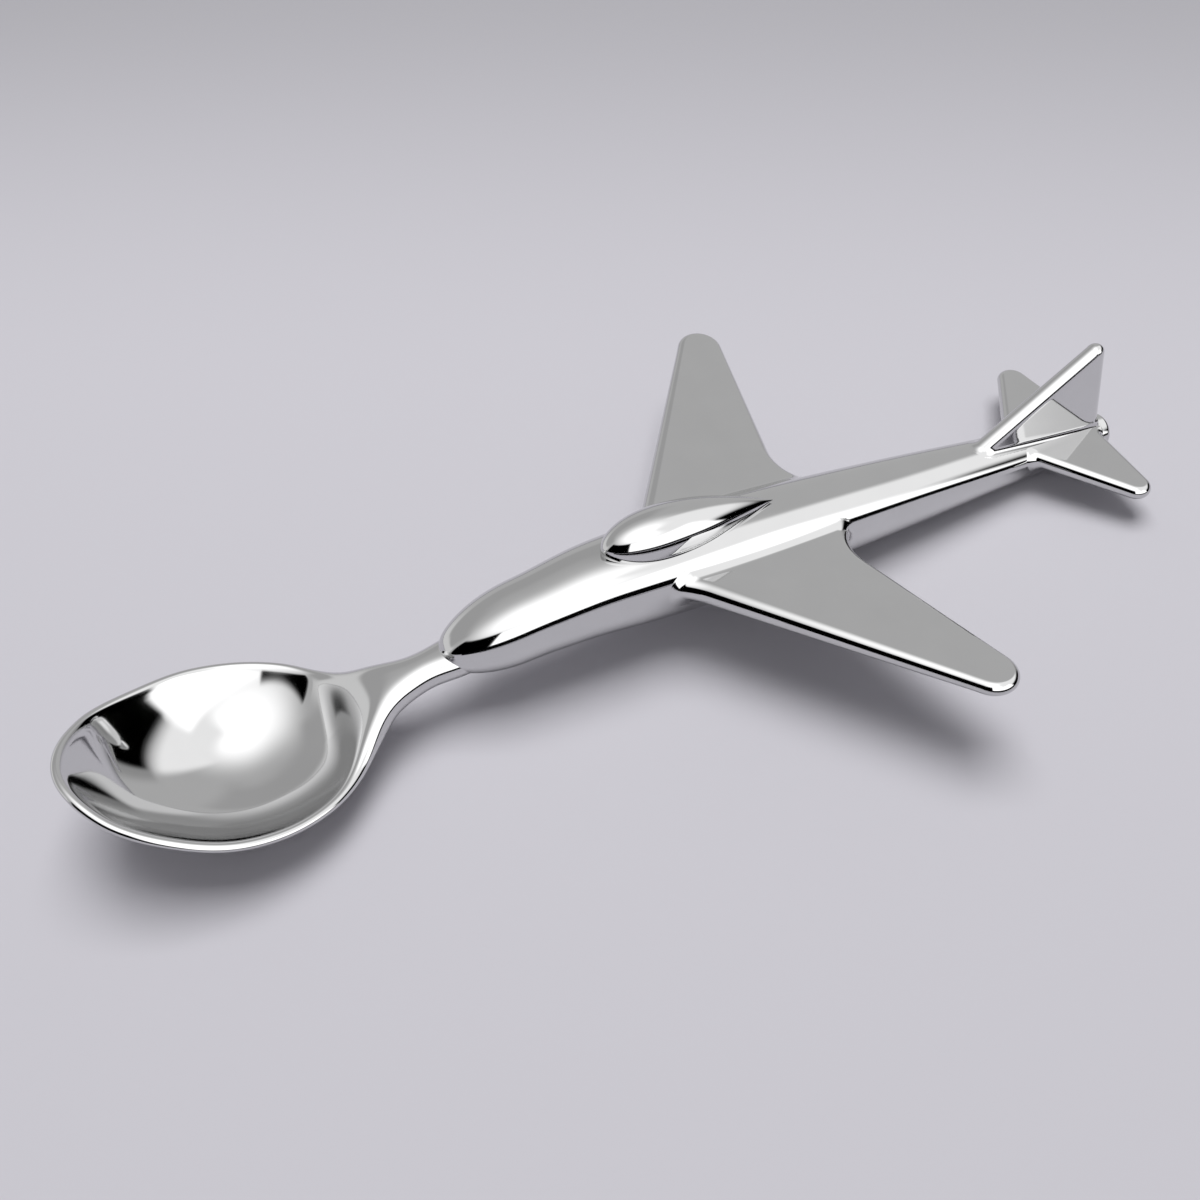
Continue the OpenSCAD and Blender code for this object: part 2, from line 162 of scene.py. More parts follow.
def bumpNode(nodes, links, height, depth, strength, under=None):
    # depth is in metres; under is a bump that this one lies on
    bump = nodes.new("ShaderNodeBump")
    bump.inputs["Distance"].default_value = depth
    bump.inputs["Strength"].default_value = strength
    links.new(height, bump.inputs["Height"])
    if under:
        links.new(under, bump.inputs["Normal"])
    return bump.outputs["Normal"]


# finish of the metal: what all pieces share, with the scale and detail of each noise, then for each finish
# how much darker its darker tone is, its least and most roughness, and how strong its hairlines are
steel = {
    "tone": (0.64, 0.64, 0.642), "ior": 2.5, "noiseSpan": (0.3, 0.7),
    "clouds": (160, 4), "wiping": (90, 6), "ripple": (240, 2), "hairs": (1500, 3),
    "rippleDepth": 0.00002, "rippleStrength": 0.05, "hairDepth": 0.000004, "hairStretch": (0.06, 1, 1),
}
polish = {
    "polishedBowl": {"shade": 0.035, "roughness": (0.035, 0.085), "hairStrength": 0.10},
    "polishedShell": {"shade": 0.03, "roughness": (0.03, 0.07), "hairStrength": 0.06},
    "polishedWing": {"shade": 0.03, "roughness": (0.05, 0.10), "hairStrength": 0.08},
    "polishedTrim": {"shade": 0.03, "roughness": (0.03, 0.07), "hairStrength": 0.06},
}


def polishedMetal(name, look):
    # mirror polish: two close tones, a roughness that wanders with wiping, hairlines and a faint ripple
    material, nodes, links = newMaterial(name)
    metal = nodes["Principled BSDF"]
    metal.inputs["Metallic"].default_value = 1.0
    metal.inputs["IOR"].default_value = steel["ior"]

    def noise(kind, stretch=None):
        return noiseNode(nodes, links, *steel[kind], stretch)

    def between(share, low, high):
        span = nodes.new("ShaderNodeMapRange")
        span.inputs["From Min"].default_value, span.inputs["From Max"].default_value = steel["noiseSpan"]
        span.inputs["To Min"].default_value, span.inputs["To Max"].default_value = low, high
        links.new(share, span.inputs["Value"])
        return span.outputs["Result"]

    darker = tuple(c * (1 - look["shade"]) for c in steel["tone"])
    tone = toneBetween(nodes, links, between(noise("clouds"), 0, 1), darker, steel["tone"])
    links.new(tone, metal.inputs["Base Color"])
    links.new(between(noise("wiping"), *look["roughness"]), metal.inputs["Roughness"])
    ripple = bumpNode(nodes, links, noise("ripple"), steel["rippleDepth"], steel["rippleStrength"])
    hairs = noise("hairs", steel["hairStretch"])
    lines = bumpNode(nodes, links, hairs, steel["hairDepth"], look["hairStrength"], ripple)
    links.new(lines, metal.inputs["Normal"])
    return material


metals = {name: polishedMetal(name, look) for name, look in polish.items()}
print("finishes ready")

# body: bullet nose, drooping in front of the bend, and a long taper. Its section is fuller than a
# circle up to the fade's end. A profile point is a station and the radius there
body = {
    "noseTip": -26.45,
    "profile": [(-26.45, 0), (-26.22, 0.81), (-25.55, 1.9), (-24.2, 2.95), (-22.6, 3.72), (-20.2, 4.45),
                (-17.3, 4.88), (-14.4, 5.02), (-11.5, 5.24), (-8.2, 5.51), (-4.6, 5.75), (1.8, 6.06),
                (8.7, 6.15), (15.5, 6.05), (23.7, 5.75), (31.4, 5.35), (39.1, 4.9), (46, 4.46),
                (52.9, 4.01), (59.7, 3.57), (67, 3.15), (74.3, 2.8)],
    "wall": 0.9,
    "bend": -7.2, "droop": 9.88, "bendLength": 1.6,
    "fuller": 0.5, "slimmer": 0.04, "fadeEnd": 62, "fadeLength": 30,
    "blunt": -19.0, "bluntOverlap": 3, "bluntEvery": 3,
    "rows": 330, "columns": 96, "samples": 2400, "evenShare": 0.35, "crowding": 1.35,
}


def bodyProfile(count):
    # rows at shares e t + (1 - e) t^c of the profile's length, closer together at the nose
    at, whole = curveThrough(body["profile"])
    t = np.linspace(0, 1, count)
    return at(whole * (body["evenShare"] * t + (1 - body["evenShare"]) * t ** body["crowding"]))


profileX, profileR = bodyProfile(body["samples"])


def bodyFull(x):
    # share of the fuller section: whole along the body, fading to a plain circle towards the tail button
    return smoothStep((body["fadeEnd"] - x) / body["fadeLength"])


def bodyAround(x, y, z):
    # size of the section through a point: (|y|^n + |z|^n)^(1/n), n = 2 + the fuller share, over a share that
    # makes it slimmer
    n = 2 + body["fuller"] * bodyFull(x)
    size = (np.abs(y) ** n + np.abs(z) ** n) ** (1 / n)
    return size / (1 - body["slimmer"] * bodyFull(x))


def bodyMiddle(x):
    # the middle line bends down in front of the bend: -tan(droop) w ln(1 + exp((bend - x) / w))
    w = body["bendLength"]
    return -math.tan(math.radians(body["droop"])) * w * np.logaddexp(0, (body["bend"] - x) / w)


def bodyDistance(points):
    # how far a point lies outside the body's skin: square to the middle line, and round the blunt nose
    # the least distance to the profile, minus inside
    x = points[..., 0]
    around = bodyAround(x, points[..., 1], points[..., 2] - bodyMiddle(x))
    radius = np.where(x < body["noseTip"], 0, np.interp(x, profileX, profileR))
    distance = around - radius
    blunt = x < body["blunt"]
    if blunt.any():
        skin = np.flatnonzero(profileX < body["blunt"] + body["bluntOverlap"])[::body["bluntEvery"]]
        alongX = x[blunt][:, None] - profileX[skin]
        across = around[blunt][:, None] - profileR[skin]
        nearest = np.sqrt(np.min(alongX ** 2 + across ** 2, axis=1))
        distance[blunt] = np.where(around[blunt] < radius[blunt], -nearest, nearest)
    return distance


def wallInside(x, r, gap=0.0):
    # the shells' inner skin at each row: a wall w less in radius, and aft by w - r / 2 near the tip. The rows
    # that have no radius share one pole
    wall = body["wall"]
    radius = np.maximum(r - wall - gap, 0)
    stations = x + wall * np.clip(1 - r / (2 * wall), 0, 1)
    row = np.maximum(np.arange(len(x)), np.flatnonzero(radius == 0)[-1])
    return stations[row], radius[row], bodyMiddle(x)[row]


def bodySkin(x, stations, radius, middle, turn):
    # points (station, R cos v, middle + R sin v), R being the radius over the section's size that way
    wide = radius[:, None] / bodyAround(x[:, None], np.cos(turn), np.sin(turn))
    return np.stack([np.repeat(stations[:, None], len(turn), 1), wide * np.cos(turn),
                     middle[:, None] + wide * np.sin(turn)], -1)


def bodyShell(side):
    # half a turn of the outer and the inner skin, joined along both seams and at the tail
    x, r = bodyProfile(body["rows"])
    turn = np.linspace(0, math.pi, body["columns"]) * side
    outside = bodySkin(x, x, r, bodyMiddle(x), turn)
    inside = bodySkin(x, *wallInside(x, r), turn)
    seams = [np.stack([outside[:, c], inside[:, c]], 1) for c in (0, -1)]
    tail = np.stack([outside[-1], inside[-1]], 0)
    return [outside, inside, *seams, tail]


makePiece("upperBodyShell", bodyShell(1), "shell_chrome", metals["polishedShell"], "upper_body_shell")
makePiece("lowerBodyShell", bodyShell(-1), "shell_chrome", metals["polishedShell"], "lower_body_shell")

# tail button, with a spigot inside the shells
button = {
    "start": 74.3, "length": 1.9, "radius": 2.8, "round": 0.93, "edge": 0.08, "spigot": 3.0, "clear": 0.95,
    "columns": 120, "roundRows": 14,
}


def tailButton():
    # a turned profile: spigot, step, short cylinder, quarter round and flat end
    start, radius, edge = button["start"], button["radius"], button["edge"]
    end, thin = start + button["length"], radius - button["clear"]
    bend = np.linspace(0, math.pi / 2, button["roundRows"])
    rounded = np.stack([end - button["round"] + button["round"] * np.sin(bend),
                        radius - button["round"] + button["round"] * np.cos(bend)], -1)
    front = [(start - button["spigot"], 0), (start - button["spigot"], thin), (start, thin),
             (start, radius - edge), (start + edge, radius)]
    profile = np.concatenate([front, rounded, [(end, 0)]])
    turn = np.linspace(0, 2 * math.pi, button["columns"])
    return [np.stack([np.repeat(profile[:, :1], len(turn), 1), profile[:, 1:] * np.cos(turn),
                      profile[:, 1:] * np.sin(turn)], -1)]


makePiece("tailButton", tailButton(), "trim_chrome", metals["polishedTrim"], "tail_button")

# bowl, neck and tang. Each list holds a station and, in turn, the plan's half width, the rim's
# height, the dish's depth, the fullness of its cross section and half the metal's thickness
spoon = {
    "outline": [(-69.9, 0), (-69, 3.8), (-67.3, 6.6), (-65.8, 8.3), (-63.3, 10.15), (-60.5, 11.6),
                (-57.5, 12.85), (-54.5, 13.65), (-51.3, 13.85), (-48, 13.5), (-45, 12.65), (-42, 11.2),
                (-39, 8.75), (-36.5, 6.05), (-34, 4.1), (-31, 2.85), (-28, 2.4), (-25, 2.7), (-21.5, 2.75),
                (-17, 2.6)],
    "rim": [(-72, 0.2), (-66, -3.45), (-60, -5.9), (-54, -7.45), (-48, -8.5), (-42, -9.05), (-39, -8.9),
            (-34, -6.7), (-31, -5.85), (-28, -5.0), (-22, -3.9), (-17, -3.3)],
    "depth": [(-70, 0), (-69.2, 0.75), (-67.5, 2.3), (-65, 4.45), (-62, 6.2), (-58, 7.5), (-54, 7.9),
              (-50, 7.55), (-46, 6.4), (-42.5, 4.85), (-39.5, 3.0), (-37, 1.25), (-35.2, 0.35),
              (-33.5, 0.0), (-30, 0), (-17, 0)],
    "fullness": [(-69.6, 2.0), (-66, 2.05), (-60, 2.2), (-52, 2.3), (-45, 2.2), (-40, 2.1), (-36, 2.0),
                 (-17, 2.0)],
    "half": [(-69.6, 0.6), (-60, 0.6), (-50, 0.6), (-44, 0.62), (-41, 0.75), (-38.5, 1.05), (-36, 1.55),
             (-33.8, 1.9), (-30, 2.0), (-24, 2.0), (-17, 1.9)],
    "rimHalf": 0.6, "neckStart": -41, "neckFade": 8,
    "spineStart": -59.0, "spineEnd": -33.5, "spineLeave": 24, "spineReach": 46,
    "rows": 230, "flatColumns": 44, "edgeColumns": 18, "samples": 3000,
    "knee": 22, "slopeStep": 0.02, "probe": 0.01,
}


def listed(name, x):
    # the value of one of the spoon's lists at a station
    table = np.array(spoon[name], float)
    return spline(x, table[:, 0], table[:, 1])


def spoonOutline(count):
    # the plan outline at even steps of its length
    at, whole = curveThrough(spoon["outline"])
    length = np.linspace(0, whole, count)
    return *at(length), length


wideX, wideY, _ = spoonOutline(spoon["samples"])


def rimInset(x):
    # half the rim's thickness, which stays outside the middle surface; it fades out along the neck
    return spoon["rimHalf"] * (1 - smoothStep((x - spoon["neckStart"]) / spoon["neckFade"]))


def dish(x, y):
    # middle surface: rim height less depth (1 - q^fullness), q being the share of the half width
    width = np.maximum(np.interp(x, wideX, wideY) - rimInset(x), 1e-3)
    q = np.clip(np.abs(y) / width, 0, 1)
    return listed("rim", x) - listed("depth", x) * (1 - q ** listed("fullness", x))


def dishNormal(x, y):
    # square to the middle surface, by differences; on the middle line it doesn't lean sideways
    d = spoon["probe"]
    slopeX = (dish(x + d, y) - dish(x - d, y)) / (2 * d)
    slopeY = (dish(x, y + d) - dish(x, np.maximum(y - d, 0))) / (d + np.minimum(y, d))
    slopeY = np.where(y < 1e-6, 0, slopeY)
    normal = np.stack([-slopeX, -slopeY, np.ones_like(x)], -1)
    return normal / np.linalg.norm(normal, axis=-1, keepdims=True)


def spoonRows():
    # each row runs from a spine on the middle line to the edge line, half the rim's thickness inside the
    # outline. The spine is straight under the bowl and goes over to the edge line's own stations at the neck
    x, y, length = spoonOutline(spoon["rows"])
    slopeX, slopeY = np.gradient(x, length), np.gradient(y, length)
    slopeX[0], slopeY[0] = 0.0, 1.0
    inset = rimInset(x)
    edgeX, edgeY = x + slopeY * inset, np.maximum(y - slopeX * inset, 0)
    start, leave, reach = spoon["spineStart"], spoon["spineLeave"], spoon["spineReach"]
    straight = start + (length / reach) * (spoon["spineEnd"] - start)
    blend = smoothStep((length - leave) / (reach - leave))
    return edgeX, edgeY, np.maximum.accumulate(straight * (1 - blend) + edgeX * blend)


def rowPower(edgeX, edgeY, spineX, half):
    # exponent n = 2 w / (half cos slope) of a row of width w, so that its edge is as round as a half circle
    reach, step = np.hypot(edgeX - spineX, edgeY), spoon["slopeStep"]
    nearX, nearY = edgeX + (spineX - edgeX) * step, edgeY * (1 - step)
    rise = np.abs(dish(edgeX, edgeY) - dish(nearX, nearY)) / (reach * step)
    return np.maximum(2.0, 2 * reach * np.sqrt(1 + rise ** 2) / half)


def rowShares(power):
    # shares of the way to the edge: even up to the knee, then (sin a)^(2 / n) for even turns round the edge
    knee = math.radians(spoon["knee"])
    flat = np.linspace(0, 1, spoon["flatColumns"])[:-1]
    turn = np.linspace(knee, math.pi / 2, spoon["edgeColumns"])
    return np.concatenate([flat * math.sin(knee) ** (2 / power), np.sin(turn) ** (2 / power)], 1)


def spoonHalf(side):
    # the skin stands half sqrt(1 - t^n) off the middle surface on both sides, t being the share of the row
    edgeX, edgeY, spineX = spoonRows()
    half = listed("half", edgeX)
    power = rowPower(edgeX, edgeY, spineX, half)[:, None]
    share = rowShares(power)
    x = spineX[:, None] + (edgeX - spineX)[:, None] * share
    y = edgeY[:, None] * share
    middle = np.stack([x, y, dish(x, y)], -1)
    thick = half[:, None] * np.sqrt(np.maximum(1 - share ** power, 0))
    offset = dishNormal(x, y) * thick[..., None]
    skin = np.concatenate([middle + offset, (middle - offset)[:, ::-1][:, 1:]], 1)
    skin[:, [0, -1], 1] = 0
    return skin * [1, side, 1]


def spoonForm():
    # both halves, each closed by a fan at the tang's end
    grids = []
    for half in (spoonHalf(-1), spoonHalf(1)):
        end = half[-1]
        grids += [half, fan(end, (end[:, 0].mean(), 0, end[:, 2].mean()))]
    return grids


makePiece("spoonBowl", spoonForm(), "bowl_steel", metals["polishedBowl"], "spoon_bowl_neck_and_tang")

# canopy: its shares are of the length and of the radius
canopy = {
    "start": -5.6, "length": 24.2, "radius": 3.65, "height": 6.05,
    "shares": [(0, 0), (0.008, 0.18), (0.035, 0.41), (0.09, 0.66), (0.17, 0.86), (0.26, 0.97), (0.36, 1),
               (0.46, 0.965), (0.57, 0.87), (0.68, 0.71), (0.8, 0.48), (0.91, 0.23), (1, 0)],
    "rows": 150, "columns": 160,
}


def canopyForm():
    # a drop turned round a line on the body's back: points (x, r cos v, height + r sin v)
    at, whole = curveThrough(np.array(canopy["shares"], float) * [canopy["length"], canopy["radius"]])
    x, r = at(whole * (1 - np.cos(np.linspace(0, math.pi, canopy["rows"]))) / 2)
    r[-1] = 0
    turn = np.linspace(0, 2 * math.pi, canopy["columns"])
    return [np.stack([np.repeat(canopy["start"] + x[:, None], len(turn), 1), r[:, None] * np.cos(turn),
                      canopy["height"] + r[:, None] * np.sin(turn)], -1)]


makePiece("dropCanopy", canopyForm(), "shell_chrome", metals["polishedShell"], "canopy")

# wings, fin and tailplanes are blades
bladeWay = {
    "tipShare": 0.75,  # of the tip's radius: from that far before its middle the stations go by even turns
    "bevelShare": 0.6,  # of the way to the spine: a bevel is no wider than this and half the thickness
    "turnOver": 0.6,  # lean of the skin, down and up, between which the fillets change their radius
}
fillet = {"least": 1e-4, "halvings": 18, "probe": 0.02}


def bodySlope(points):
    # direction in which the distance from the body grows fastest, by central differences
    steps = fillet["probe"] * np.eye(3)
    slope = np.stack([bodyDistance(points + step) - bodyDistance(points - step) for step in steps], -1)
    return slope / np.maximum(np.linalg.norm(slope, axis=-1, keepdims=True), 1e-9)


def rootFillet(points, normals, radius):
    # rounded join: each point moves out by F where (r - a)^2 + (r - F)^2 = r^2, a being its distance from the
    # body after the move; r fades as 1 - cos^2 of the angle between the two skins. Found by halving
    square = 1 - np.sum(bodySlope(points) * normals, -1) ** 2
    r = np.maximum(radius * square, fillet["least"])
    low, high = np.zeros(points.shape[:-1]), r.copy()
    near = bodyDistance(points) < r
    for _ in range(fillet["halvings"]):
        middle = (low + high) / 2
        a = bodyDistance(points + normals * middle[..., None])
        inside = np.maximum(r - a, 0) ** 2 + (r - middle) ** 2 > r ** 2
        low, high = np.where(inside, middle, low), np.where(inside, high, middle)
    return points + normals * np.where(near, low, 0)[..., None]


def bladeEdge(blade, y, start, side):
    # outline of one long edge at each y: a hollow corner arc tangent to the root line, a straight line that
    # touches the tip's circle, and that circle; with the outward direction. side is -1 in front and 1 behind
    tip, r = np.array(blade["tip"]), blade["tipRadius"]
    corner = blade["frontCorner"] if side < 0 else blade["rearCorner"]
    gap = tip - [start, 0]
    way = math.atan2(gap[1], gap[0]) - side * math.asin(r / np.hypot(*gap))
    lineX, lineY = math.cos(way), math.sin(way)
    outX, outY = side * lineY, -side * lineX
    middleY = blade["inner"] + corner
    middleX = start + (corner - outY * middleY) / outX
    inCorner, inTip = y < middleY - outY * corner, y >= tip[1] + r * outY
    cornerX = middleX - side * np.sqrt(np.maximum(corner ** 2 - (middleY - y) ** 2, 0))
    tipX = tip[0] + side * np.sqrt(np.maximum(r ** 2 - (y - tip[1]) ** 2, 0))
    x = np.where(inCorner, cornerX, np.where(inTip, tipX, start + y * lineX / lineY))
    wayX = np.where(inCorner, (middleX - x) / corner, np.where(inTip, (x - tip[0]) / r, outX))
    wayY = np.where(inCorner, (middleY - y) / corner, np.where(inTip, (y - tip[1]) / r, outY))
    outward = np.stack([wayX, wayY], -1)
    return x, outward / np.linalg.norm(outward, axis=1, keepdims=True)


def bladeStations(blade):
    # stations along the span: close together at the root, then even, then by even turns round the tip
    tip, r, before = blade["tip"], blade["tipRadius"], bladeWay["tipShare"]
    rootEnd, tipStart = blade["inner"] + blade["rootZone"], tip[1] - before * r
    turn = np.linspace(math.asin(-before), math.pi / 2, blade["tipColumns"])
    return np.concatenate([np.linspace(blade["inner"], rootEnd, blade["rootColumns"]),
                           np.linspace(rootEnd, tipStart, blade["spanColumns"])[1:],
                           (tip[1] + r * np.sin(turn))[1:]])


def outAndBack(front, rear):
    # along the front edge to the tip and back along the rear one
    return np.concatenate([front, rear[::-1][1:]])


def bladeForm(blade):
    # flat faces stand half the thickness off the middle plane and a half ellipse runs round the outline, as
    # high as that and as wide as the bevel; both edges share their stations, so the faces meet on a spine
    y = bladeStations(blade)
    frontX, frontOut = bladeEdge(blade, y, 0.0, -1)
    rearX, rearOut = bladeEdge(blade, y, blade["chord"], 1)
    share = np.clip(y / blade["tip"][1], 0, 1)
    spineX = blade["spineRoot"] + (blade["tip"][0] - blade["spineRoot"]) * share
    half = blade["rootHalf"] + (blade["tipHalf"] - blade["rootHalf"]) * share

    loop = np.stack([outAndBack(frontX, rearX), outAndBack(y, y)], -1)
    spine = np.stack([outAndBack(spineX, spineX), outAndBack(y, y)], -1)
    outward, half = outAndBack(frontOut, rearOut), outAndBack(half, half)
    wide = np.minimum(half * blade["bevel"], half + bladeWay["bevelShare"] * np.hypot(*(loop - spine).T))
    start = loop - outward * (wide - half)[:, None]
    flat = np.linspace(0, 1, blade["flatColumns"])[:, None, None]
    face = spine + (start - spine) * flat
    top = np.concatenate([face, np.repeat(half[None], len(flat), 0)[..., None]], -1)
    around = np.linspace(0, math.pi, blade["edgeColumns"])[1:-1, None]
    rim = np.concatenate([start + outward * (wide * np.sin(around))[..., None],
                          (half * np.cos(around))[..., None]], -1)
    points = np.concatenate([top, rim, (top * [1, 1, -1])[::-1]], 0)

    up = np.zeros_like(top) + [0, 0, 1]
    rimNormal = np.concatenate([outward * np.sin(around)[..., None],
                                (np.cos(around) * (wide / half))[..., None]], -1)
    rimNormal /= np.linalg.norm(rimNormal, axis=-1, keepdims=True)
    return points, np.concatenate([up, rimNormal, -up], 0)


def closedBlade(points, normals, blade):
    # fillets along the body, from their radius below to that above, and a fan that closes the root inside it
    above = smoothStep((normals[..., 2] + bladeWay["turnOver"]) / (2 * bladeWay["turnOver"]))
    points = rootFillet(points, normals, blade["under"] + (blade["over"] - blade["under"]) * above)
    root = np.concatenate([points[:, 0], points[::-1, -1]])
    return [points, fan(root, root.mean(0))]


def tilt(points, angle):
    # turn round the x axis
    c, s = math.cos(math.radians(angle)), math.sin(math.radians(angle))
    return np.stack([points[..., 0], points[..., 1] * c - points[..., 2] * s,
                     points[..., 1] * s + points[..., 2] * c], -1)


# in each blade, tip is the middle of the tip's circle, and the root's ends are at 0 and at chord
wing = {
    "front": 0.6, "height": 0.8, "rise": 6.9,
    "chord": 20.9, "tip": (26.3, 33.32), "tipRadius": 2.25, "rootHalf": 1.75, "tipHalf": 0.98, "bevel": 1.0,
    "inner": 2.4, "frontCorner": 12.5, "rearCorner": 7.8, "spineRoot": 12.0, "over": 1.1, "under": 1.4,
    "rootZone": 6.0, "rootColumns": 90, "spanColumns": 70, "tipColumns": 30, "flatColumns": 40,
    "edgeColumns": 34,
}


def wingForm(side):
    # a blade that rises outwards from its root
    points, normals = bladeForm(wing)
    points = tilt(points, wing["rise"]) + [wing["front"], 0, wing["height"]]
    normals = tilt(normals, wing["rise"])
    return [grid * [1, side, 1] for grid in closedBlade(points, normals, wing)]


makePiece("rightWing", wingForm(1), "wing_chrome", metals["polishedWing"], "right_wing")
makePiece("leftWing", wingForm(-1), "wing_chrome", metals["polishedWing"], "left_wing")

tailplane = {
    "place": 59.5, "height": 1.6,
    "chord": 12.8, "tip": (10.7, 12.8), "tipRadius": 1.2, "rootHalf": 1.2, "tipHalf": 1.0, "bevel": 1.0,
    "inner": 1.6, "frontCorner": 4.0, "rearCorner": 1.6, "spineRoot": 8.0, "over": 1.2, "under": 1.0,
    "rootZone": 3.0, "rootColumns": 60, "spanColumns": 40, "tipColumns": 24, "flatColumns": 26,
    "edgeColumns": 26,
}


def tailplaneForm(side):
    # a level blade
    points, normals = bladeForm(tailplane)
    points = points + [tailplane["place"], 0, tailplane["height"]]
    return [grid * [1, side, 1] for grid in closedBlade(points, normals, tailplane)]


makePiece("rightTailplane", tailplaneForm(1), "wing_chrome", metals["polishedWing"], "right_tailplane")
makePiece("leftTailplane", tailplaneForm(-1), "wing_chrome", metals["polishedWing"], "left_tailplane")

fin = {
    "place": 48.9,
    "chord": 25.0, "tip": (18.8, 15.6), "tipRadius": 0.25, "rootHalf": 1.3, "tipHalf": 1.15, "bevel": 1.15,
    "inner": 1.6, "frontCorner": 1.5, "rearCorner": 1.3, "spineRoot": 15.0, "over": 0.9, "under": 0.9,
    "rootZone": 4.0, "rootColumns": 70, "spanColumns": 44, "tipColumns": 20, "flatColumns": 26,
    "edgeColumns": 28,
}


def finForm():
    # an upright blade: its span runs along z and its thickness along y
    points, normals = [a[..., [0, 2, 1]] for a in bladeForm(fin)]
    return closedBlade(points + [fin["place"], 0, 0], normals, fin)


makePiece("tailFin", finForm(), "wing_chrome", metals["polishedWing"], "tail_fin")

# cement, which the shells hide
cement = {
    "dark": (0.42, 0.4, 0.36), "pale": (0.6, 0.58, 0.53), "roughness": 0.9, "grain": (1200, 5),
    "grainDepth": 0.00005, "grainStrength": 0.4,
}
filling = {"gap": 0.04, "end": 71.2, "columns": 96}


def cementMaterial():
    # chalky filling: fine grain in colour and bump
    material, nodes, links = newMaterial("cementGrain")
    chalk = nodes["Principled BSDF"]
    chalk.inputs["Roughness"].default_value = cement["roughness"]
    grain = noiseNode(nodes, links, *cement["grain"])
    tone = toneBetween(nodes, links, grain, cement["dark"], cement["pale"])
    links.new(tone, chalk.inputs["Base Color"])
    bump = bumpNode(nodes, links, grain, cement["grainDepth"], cement["grainStrength"])
    links.new(bump, chalk.inputs["Normal"])
    return material


def fillingForm():
    # the inside of the shells less a hair's gap, all the way round, closed by a fan before the spigot
    x, r = bodyProfile(body["rows"])
    stations, radius, middle = wallInside(x, r, filling["gap"])
    keep = stations < filling["end"]
    turn = np.linspace(0, 2 * math.pi, filling["columns"])
    skin = bodySkin(x[keep], stations[keep], radius[keep], middle[keep], turn)
    return [skin, fan(skin[-1], (stations[keep][-1], 0, middle[keep][-1]))]


makePiece("cementFilling", fillingForm(), "cement", cementMaterial(), "cement_filling")

# studio: paper floor whose tone sinks from floorTone to the far tone over farSpan metres along farWay, which
# is painted shade standing in for the light's falloff towards the back, and the world's fill and backdrop
studio = {
    # the far tone is painted shade: the far floor is drawn darker than the paper is
    "floorSize": 3.0, "floorTone": (0.60, 0.588, 0.63), "farShadeTone": (0.42, 0.414, 0.44),
    "farWay": (0.5, 0.866, 0.0), "farSpan": (0.04, 0.22), "paperRoughness": 0.85, "paperGloss": 0.1,
    "fill": (0.26, 0.26, 0.27), "backdrop": (0.50, 0.49, 0.52),
}
overhead = {"place": (0.06, 0.14, 0.9), "aim": (0, 0, 0), "size": 0.62, "watts": 7.2}


def floorPaper():
    # matt paper; its tone goes by the share of the way along farWay, the far part darkened as painted shade
    material, nodes, links = newMaterial("floorPaper")
    paper = nodes["Principled BSDF"]
    paper.inputs["Roughness"].default_value = studio["paperRoughness"]
    paper.inputs["Specular IOR Level"].default_value = studio["paperGloss"]
    along = nodes.new("ShaderNodeVectorMath")
    along.operation = "DOT_PRODUCT"
    along.inputs[1].default_value = studio["farWay"]
    links.new(nodes.new("ShaderNodeTexCoord").outputs["Object"], along.inputs[0])
    share = nodes.new("ShaderNodeMapRange")
    share.interpolation_type = "SMOOTHSTEP"
    share.inputs["From Min"].default_value, share.inputs["From Max"].default_value = studio["farSpan"]
    links.new(along.outputs["Value"], share.inputs["Value"])
    # the mix darkens the far floor: painted shade, standing in for the light's falloff
    tone = toneBetween(nodes, links, share.outputs["Result"], studio["floorTone"], studio["farShadeTone"])
    links.new(tone, paper.inputs["Base Color"])
    return material


def stagePiece(name, mesh, material):
    mesh.materials.append(material)
    stageObject = bpy.data.objects.new(name, mesh)
    bpy.context.scene.collection.objects.link(stageObject)
    return stageObject


def seenByMetalOnly(stageObject):
    stageObject.visible_camera = stageObject.visible_diffuse = stageObject.visible_shadow = False


def layFloor():
    # one square sheet under the object
    half = studio["floorSize"] / 2
    mesh = bpy.data.meshes.new("floor")
    corners = [(-half, -half, 0), (half, -half, 0), (half, half, 0), (-half, half, 0)]
    mesh.from_pydata(corners, [], [(0, 1, 2, 3)])
    stagePiece("floor", mesh, floorPaper())


def hangLamp():
    # a square softbox above the object, turned to its aim
    lamp = bpy.data.lights.new("overhead", "AREA")
    lamp.shape, lamp.size, lamp.size_y = "RECTANGLE", overhead["size"], overhead["size"]
    lamp.energy = overhead["watts"]
    lampObject = bpy.data.objects.new("overhead", lamp)
    lampObject.location = overhead["place"]
    aim = Vector(overhead["aim"]) - Vector(overhead["place"])
    lampObject.rotation_euler = aim.to_track_quat("-Z", "Y").to_euler()
    lampObject.visible_camera = lampObject.visible_glossy = False
    bpy.context.scene.collection.objects.link(lampObject)


layFloor()
hangLamp()

